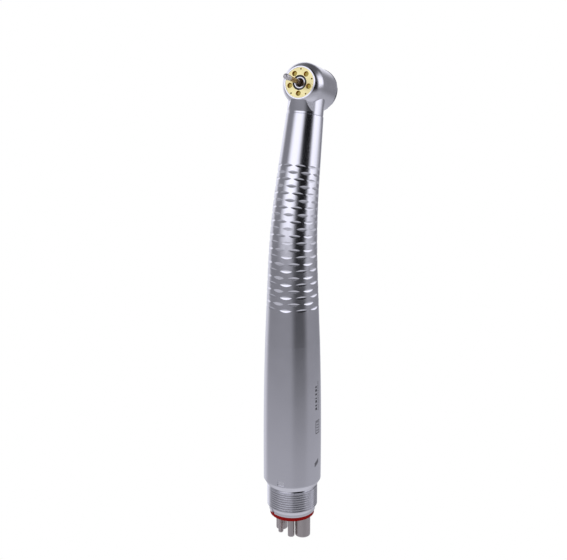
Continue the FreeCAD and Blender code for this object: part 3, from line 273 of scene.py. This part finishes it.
def piece(name, verts, faces, node, finish):
    """A mesh piece in millimetres that rides on the handpiece, smooth apart from its sharp edges."""
    sharp = math.radians(25)
    mesh = bpy.data.meshes.new(name)
    mesh.from_pydata([(x * MM, y * MM, z * MM) for x, y, z in verts], [], faces)
    mesh.polygons.foreach_set("use_smooth", [True] * len(mesh.polygons))
    mesh.set_sharp_from_angle(angle=sharp)
    mesh.materials.append(FINISHES[finish])
    thing = bpy.data.objects.new(name, mesh)
    bpy.context.scene.collection.objects.link(thing)
    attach(thing, "handpiece")
    if node:
        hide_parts(node)
    return thing


# A recess in a lathed side, between two azimuths in degrees and two heights in millimetres.
Pocket = namedtuple("Pocket", "left right low high depth")


def columns(segments, edges=()):
    """Azimuths in degrees of a lathed piece's columns, with a close pair at each edge of a pocket."""
    apart, beside = 0.3, 0.05
    angles = [360 * k / segments for k in range(segments)]
    angles = [angle for angle in angles if all(abs(angle - edge % 360) > apart for edge in edges)]
    angles += [(edge + step) % 360 for edge in edges for step in (-beside, beside)]
    return sorted(angles)


def sunk(pocket, angle, height):
    """How far a pocket sets back a lathed point."""
    if pocket is None or not pocket.low < height < pocket.high:
        return 0
    return pocket.depth if (angle - pocket.left) % 360 < pocket.right - pocket.left else 0


def lathe(outline, angles, pocket=None, centre=(0, 0)):
    """Turns a closed outline of (radius, height) corners round an upright axis."""
    verts, faces = [], []
    for radius, height in outline:
        for angle in angles:
            reach = radius - sunk(pocket, angle, height)
            turn = math.radians(angle)
            verts.append((centre[0] + reach * math.sin(turn), centre[1] - reach * math.cos(turn), height))
    around = len(angles)
    for row in range(len(outline)):
        here, above = row * around, (row + 1) % len(outline) * around
        for k in range(around):
            after = (k + 1) % around
            faces.append((here + k, here + after, above + after, above + k))
    return verts, faces


def paint(thing, finish, low, high, least, most):
    """Another finish for the faces between two heights and two distances from the axis, in millimetres."""
    thing.data.materials.append(FINISHES[finish])
    index = len(thing.data.materials) - 1
    for face in thing.data.polygons:
        if low * MM < face.center.z < high * MM and least * MM < face.center.xy.length < most * MM:
            face.material_index = index


# The rear sleeve's side: straight up from its foot, then a long shallow bow to its bevelled rim.
SLEEVE_FOOT, SLEEVE_TOP = heights("rear_sleeve")
SLEEVE_WIDE, SLEEVE_NARROW, SLEEVE_BEVEL = 8.0, 7.45, 0.08
BOW_START, BOW_END, BOW = 18.0, SLEEVE_TOP - SLEEVE_BEVEL, 0.137


def sleeve_radius(height):
    """Outer radius of the rear sleeve at a height, in millimetres."""
    part = max(height - BOW_START, 0) / (BOW_END - BOW_START)
    return SLEEVE_WIDE + (SLEEVE_NARROW - SLEEVE_WIDE) * part + 4 * BOW * part * (1 - part)


def rear_sleeve():
    """Rear sleeve: long gentle side curve, index recess in front and a polished cone at its foot."""
    bore, mouth, shoulder = 6.6, 6.97, 14.5
    rim, cone_top, cone_rise, bow_steps = 7.0, 7.95, 1.5, 28
    rounding = ((0, 0), (0.12, 0.05), (0.18, 0.12), (0.2, 0.2), (cone_top - rim, cone_rise))
    blending = ((-0.015, cone_rise + 0.05), (0, cone_rise + 0.15))
    low, high, depth, edge = 11.25, 12.65, 0.2, 0.02
    recess_from, recess_to, straight_rows = -0.77, 1.11, (14.0, 16.0)
    left, right = (math.degrees(math.asin(x / SLEEVE_WIDE)) for x in (recess_from, recess_to))
    outline = [(bore, SLEEVE_FOOT)] + [(rim + out, SLEEVE_FOOT + up) for out, up in rounding]
    outline += [(SLEEVE_WIDE + out, SLEEVE_FOOT + up) for out, up in blending]
    outline += [(SLEEVE_WIDE, level + step) for level in (low, high) for step in (-edge, edge)]
    outline += [(SLEEVE_WIDE, height) for height in straight_rows]
    for k in range(bow_steps + 1):
        height = BOW_START + (BOW_END - BOW_START) * k / bow_steps
        outline.append((sleeve_radius(height), height))
    outline += [(SLEEVE_NARROW - SLEEVE_BEVEL, SLEEVE_TOP), (mouth, SLEEVE_TOP)]
    outline += [(mouth, shoulder), (bore, shoulder)]
    recess = Pocket(left, right, low, high, depth)
    verts, faces = lathe(outline, columns(240, (left, right)), recess)
    sleeve = piece("rear_sleeve_shell", verts, faces, "rear_sleeve", "satin_chrome")
    cone_inside, floor_inside = rim + 0.05, SLEEVE_WIDE - 2 * depth
    paint(sleeve, "polished_chrome", SLEEVE_FOOT, SLEEVE_FOOT + cone_rise, cone_inside, SLEEVE_WIDE)
    paint(sleeve, "bright_steel", low, high, floor_inside, SLEEVE_WIDE - 0.75 * depth)


def tail_connector():
    """Hose coupling: collar with a spanner slot, clean thread, and the spigot in the rear sleeve."""
    foot, top = heights("tail_connector")
    bore, collar, crest, root = 5.95, 6.45, 7.05, 6.68
    collar_round, round_middle, collar_top, cone_edge = 0.12, 0.035, 1.87, 0.01
    first, pitch, flat, rings, bevel, dip = 2.93, 0.68, 0.2, 9, 0.03, 0.02
    cone_radius, cone_top = crest - 0.16, first - 0.24
    spigot, spigot_foot, groove, groove_low, groove_high = 6.58, 9.3, 5.97, 11.6, 12.4
    outline = [(bore, foot), (collar - collar_round, foot)]
    outline += [(collar - round_middle, foot + round_middle), (collar, foot + collar_round)]
    outline += [(collar, collar_top), (cone_radius, cone_top)]
    outline += [(cone_radius + 0.8 * cone_edge, cone_top + 1.2 * cone_edge)]
    for k in range(rings):
        start = first + pitch * k
        end, middle = start + flat, start + (pitch + flat) / 2
        outline += [(crest - bevel, start - bevel), (crest, start)]
        outline += [(crest, end), (crest - bevel, end + bevel)]
        outline += [(root + dip, middle - bevel), (root, middle), (root + dip, middle + bevel)]
    outline += [(spigot, spigot_foot), (spigot, groove_low), (groove, groove_low)]
    outline += [(groove, groove_high), (spigot, groove_high), (spigot, top), (bore, top)]
    slot_angle, slot_half_width, slot_depth = -30, 0.45, 0.35
    half = math.degrees(slot_half_width / collar)
    slot_foot, slot_top = foot - cone_edge, cone_top + cone_edge / 2
    slot = Pocket(slot_angle - half, slot_angle + half, slot_foot, slot_top, slot_depth)
    verts, faces = lathe(outline, columns(240, (slot.left, slot.right)), slot)
    piece("tail_connector_shell", verts, faces, "tail_connector", "polished_chrome")


def chip_air_tube():
    """Chip air tube, whose free end has fine ribs for its sleeve in the hose."""
    low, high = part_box("chip_air_nipple")
    foot, top = heights("chip_air_nipple")
    centre = ((low.x + high.x) / 2 / MM, (low.y + high.y) / 2 / MM)
    radius, bore = (high.x - low.x) / 2 / MM, 0.4
    ribs, first, pitch, rib = 14, 0.35, 0.36, 0.05
    nose = ((-0.25, 0), (-0.12, 0.07), (-0.05, 0.22))
    crown = ((-rib, 0), (0, 0.06), (0, 0.2), (-rib, 0.26))
    outline = [(bore, foot)] + [(radius + out, foot + up) for out, up in nose]
    for k in range(ribs):
        start = foot + first + pitch * k
        outline += [(radius + out, start + up) for out, up in crown]
    outline += [(radius - rib, 0.0), (radius - rib, top), (bore, top)]
    verts, faces = lathe(outline, columns(48), centre=centre)
    piece("chip_air_tube", verts, faces, "chip_air_nipple", "stainless_tube")


def button_spring():
    """Conical spring under the button, as a fixed cone that does not flatten as the button goes in."""
    along = [corner.dot(HEAD_AXIS) / MM for corner in corners("button_spring")]
    rise = max(along) - min(along)
    outer, inner, steel, land = 3.4, 1.25, 0.15, 0.25
    outline = [(inner, 0), (inner + land, 0), (outer, rise - steel), (outer, rise)]
    outline += [(outer - land, rise), (inner, steel)]
    verts, faces = lathe(outline, columns(96))
    side = Vector((1, 0, 0))
    up = HEAD_AXIS.cross(side)
    low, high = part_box("button_spring")
    middle = (low + high) / 2 / MM
    base = middle + HEAD_AXIS * (min(along) - middle.dot(HEAD_AXIS))
    placed = [base + side * x + up * y + HEAD_AXIS * z for x, y, z in verts]
    spring = piece("button_spring_cone", placed, faces, "button_spring", "spring_steel")
    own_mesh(spring)


def etching(name, strokes):
    """Laser marks that follow the rear sleeve; a stroke is (first azimuth, last azimuth, low, high)."""
    across, upright, sunken, raised = 4, 3, -0.02, 0.004
    verts, faces = [], []
    for first, last, low, high in strokes:
        start = len(verts)
        for proud in (sunken, raised):
            for j in range(upright + 1):
                height = low + (high - low) * j / upright
                for i in range(across + 1):
                    turn = math.radians(first + (last - first) * i / across)
                    reach = sleeve_radius(height) + proud
                    verts.append((reach * math.sin(turn), -reach * math.cos(turn), height))
        sheet = (across + 1) * (upright + 1)
        grid = [[start + j * (across + 1) + i for i in range(across + 1)] for j in range(upright + 1)]
        for j in range(upright):
            for i in range(across):
                quad = (grid[j][i], grid[j][i + 1], grid[j + 1][i + 1], grid[j + 1][i])
                faces.append(tuple(corner + sheet for corner in quad))
                faces.append(quad[::-1])
        left, right = [row[0] for row in grid], [row[-1] for row in grid]
        rim = grid[0] + right[1:] + grid[-1][-2::-1] + left[-2:0:-1]
        for here, after in zip(rim, rim[1:] + rim[:1]):
            faces.append((here, after, after + sheet, here + sheet))
    return piece(name, verts, faces, None, "laser_mark")


def markings():
    """Generic laser marks on the right side, in place of lettering."""
    left, right, low, pitch = 77.5, 82.5, 32.6, 1.06
    lengths = (0.7, 0.45, 0.7, 0.35, 0.55, 0.7, 0.45)
    etching("long_mark", [(left, right, low + pitch * k, low + pitch * k + length)
                          for k, length in enumerate(lengths)])
    left, right, low, pitch, length = 86.5, 88.5, 32.2, 0.5, 0.3
    etching("fine_mark", [(left, right, low + pitch * k, low + pitch * k + length) for k in range(17)])
    left, right, low, high, line = 78.0, 92.0, 25.6, 29.4, 0.2
    margin, pitch = 3, 0.8
    side = math.degrees(line / SLEEVE_WIDE)
    strokes = [(left, right, low, low + line), (left, right, high - line, high)]
    strokes += [(edge, edge + side, low + line, high - line) for edge in (left, right - side)]
    strokes += [(left + margin, right - margin, low + pitch * k, low + pitch * k + line)
                for k in range(1, 5)]
    etching("framed_mark", strokes)
    left, width, low, length, step, climb = 75.5, 1.8, 15.9, 1.3, 2.6, 0.2
    starts = [(left + step * k, low + climb * k) for k in range(5)]
    etching("small_mark", [(turn, turn + width, height, height + length) for turn, height in starts])


rear_sleeve()
tail_connector()
chip_air_tube()
button_spring()
markings()

# ---------------------------------------------------------------- studio


def towards(azimuth, elevation):
    """The direction from the part, azimuth degrees round from its front to +X and elevation degrees up."""
    turn, rise = math.radians(azimuth), math.radians(elevation)
    level = math.cos(rise)
    return Vector((math.sin(turn) * level, -math.cos(turn) * level, math.sin(rise)))


def studio_mesh(name, verts, faces, material):
    """A mesh that belongs to the studio and not to the part."""
    mesh = bpy.data.meshes.new(name)
    mesh.from_pydata(verts, [], faces)
    mesh.materials.append(material)
    thing = bpy.data.objects.new(name, mesh)
    bpy.context.scene.collection.objects.link(thing)
    return thing


def plain(name, glow):
    """A studio surface of even brightness."""
    material = bpy.data.materials.new(name)
    material.use_nodes = True
    shader = material.node_tree.nodes["Principled BSDF"]
    shader.inputs["Base Color"].default_value = (0, 0, 0, 1)
    shader.inputs["Roughness"].default_value = 1.0
    shader.inputs["Specular IOR Level"].default_value = 0.0
    shader.inputs["Emission Color"].default_value = (1, 1, 1, 1)
    shader.inputs["Emission Strength"].default_value = glow
    return material


def sweep():
    """A white studio sweep: a round floor that curves up into a wall. Only the camera sees it."""
    floor_level, radius, curve, wall = -0.12, 2.5, 0.8, 2.5
    steps, segments = 12, 64
    outline = [(0.0, floor_level)]
    for k in range(steps + 1):
        turn = math.pi / 2 * k / steps
        out, up = curve * math.sin(turn), curve - curve * math.cos(turn)
        outline.append((radius - curve + out, floor_level + up))
    outline.append((radius, floor_level + wall))
    verts, faces = [], []
    for r, z in outline:
        for k in range(segments):
            turn = 2 * math.pi * k / segments
            verts.append((r * math.cos(turn), r * math.sin(turn), z))
    for i in range(len(outline) - 1):
        for k in range(segments):
            a, b = i * segments + k, i * segments + (k + 1) % segments
            faces.append((a, b, b + segments, a + segments))
    thing = studio_mesh("studio_sweep", verts, faces, plain("studio_white", 1.0))
    thing.visible_glossy = False
    thing.visible_diffuse = False
    thing.visible_shadow = False


class Room:
    """The studio walls as brightness by direction: the far surroundings that the metal mirrors."""

    def __init__(self):
        world = bpy.data.worlds.new("studio_room")
        bpy.context.scene.world = world
        world.use_nodes = True
        self.tree = world.node_tree
        self.direction = self.tree.nodes.new("ShaderNodeTexCoord").outputs["Generated"]
        self.background = self.tree.nodes["Background"]

    def add(self, kind, operation, *values):
        """The outputs of a maths node with its sockets fed in order."""
        node = self.tree.nodes.new(kind)
        node.operation = operation
        for socket, value in zip(node.inputs, values):
            if isinstance(value, bpy.types.NodeSocket):
                self.tree.links.new(value, socket)
            else:
                socket.default_value = value
        return node.outputs

    def ramp(self, value, start, end, low, high):
        """Eases from low to high as value goes from start to end."""
        node = self.tree.nodes.new("ShaderNodeMapRange")
        node.interpolation_type = "SMOOTHSTEP"
        self.tree.links.new(value, node.inputs["Value"])
        for name, setting in (("From Min", start), ("From Max", end), ("To Min", low), ("To Max", high)):
            node.inputs[name].default_value = setting
        return node.outputs["Result"]

    def along(self, vector, axis):
        """How far a vector reaches along an axis."""
        return self.add("ShaderNodeVectorMath", "DOT_PRODUCT", vector, tuple(axis))["Value"]

    def times(self, first, second):
        return self.add("ShaderNodeMath", "MULTIPLY", first, second)["Value"]

    def climb(self, start, end, low, high):
        """Eases from low to high between two elevations in degrees."""
        height = self.along(self.direction, (0, 0, 1))
        return self.ramp(height, math.sin(math.radians(start)), math.sin(math.radians(end)), low, high)

    def near(self, vector, middle, inner, outer):
        """1 where a vector is within inner degrees of the middle, and 0 beyond outer degrees."""
        closeness = self.along(vector, middle)
        return self.ramp(closeness, math.cos(math.radians(outer)), math.cos(math.radians(inner)), 0, 1)

    def patch(self, azimuth, elevation, inner, outer):
        """A round soft spot in that direction."""
        return self.near(self.direction, towards(azimuth, elevation), inner, outer)

    def pillar(self, azimuth, inner, outer, foot, shoulder, neck=None, top=None):
        """An upright soft band, which fades from shoulder down to foot and from neck up to top."""
        level = self.add("ShaderNodeVectorMath", "MULTIPLY", self.direction, (1, 1, 0))["Vector"]
        level = self.add("ShaderNodeVectorMath", "NORMALIZE", level)["Vector"]
        band = self.near(level, towards(azimuth, 0), inner, outer)
        for start, end in ((foot, shoulder), (top, neck)):
            if start is not None:
                band = self.times(band, self.climb(start, end, 0, 1))
        return band

    def lighten(self, light, where, radiance):
        """Adds radiance to the light in that part of the room."""
        return self.add("ShaderNodeMath", "MULTIPLY_ADD", where, radiance, light)["Value"]

    def darken(self, light, where, share):
        """Takes a share of the light away in that part of the room."""
        return self.times(light, self.add("ShaderNodeMath", "MULTIPLY_ADD", where, -share, 1.0)["Value"])


def surroundings():
    """A room lit from its floor: soft panels in front, at +X and behind, and dark parts between them."""
    room = Room()
    floor_glow, wall_glow = 0.50, 0.27
    light = room.climb(-29, -12, floor_glow, wall_glow)
    below = room.patch(0, -90, inner=25, outer=55)
    front = room.pillar(-10, inner=4, outer=46, foot=-8, shoulder=10, neck=38, top=56)
    right = room.pillar(112, inner=14, outer=42, foot=-14, shoulder=6, neck=34, top=54)
    behind = room.pillar(222, inner=16, outer=50, foot=-50, shoulder=5, neck=20, top=40)
    for panel, radiance in ((below, 0.2), (front, 1.14), (right, 1.14), (behind, 0.85)):
        light = room.lighten(light, panel, radiance)
    dark_pillar = room.pillar(55, inner=12, outer=38, foot=-30, shoulder=-4)
    dark_ceiling = room.patch(150, 62, inner=10, outer=48)
    for panel, share in ((dark_pillar, 0.98), (dark_ceiling, 0.6)):
        light = room.darken(light, panel, share)
    room.tree.links.new(light, room.background.inputs["Strength"])
    room.background.inputs["Color"].default_value = (0.90, 0.90, 1.0, 1)


def camera(target, azimuth, elevation, distance, lens):
    """A camera at a distance from its target, facing it."""
    back = towards(azimuth, elevation)
    data = bpy.data.cameras.new("camera")
    data.lens = lens
    data.clip_start = 0.01
    thing = bpy.data.objects.new("camera", data)
    thing.location = target + back * distance
    thing.rotation_euler = (-back).to_track_quat("-Z", "Y").to_euler()
    bpy.context.scene.collection.objects.link(thing)
    bpy.context.scene.camera = thing


sweep()
surroundings()
bpy.context.scene.view_settings.view_transform = "Standard"

# This view was fitted to the outline of the object in the photo.
TARGET = Vector((-2.222, -1.060, 67.92)) * MM
camera(TARGET, azimuth=25.5, elevation=15.29, distance=274.05 * MM, lens=65.26)
